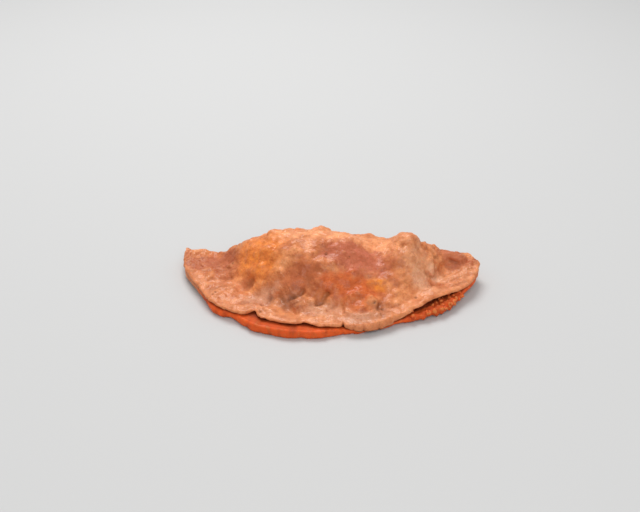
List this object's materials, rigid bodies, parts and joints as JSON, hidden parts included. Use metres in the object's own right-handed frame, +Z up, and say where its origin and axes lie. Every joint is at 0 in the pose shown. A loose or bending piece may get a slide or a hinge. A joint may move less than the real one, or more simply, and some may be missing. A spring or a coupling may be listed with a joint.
{
  "type": "empanada",
  "caption": "Fried half-moon empanada with a blistered domed crust, a flat flange round the filling and a curved rim where the two layers of dough part.",
  "frame": {"origin": "centre of the bounding box at table height", "axes": "+X along the straight fold towards the curled tip, +Y from the curved rim towards the fold, +Z up from the flat underside"},
  "size_m": [0.1396, 0.0664, 0.0262],
  "materials": {
    "fried_crust": null
  },
  "bodies": {
    "root": {"empanada": "fried_crust"}
  },
  "joints": []
}
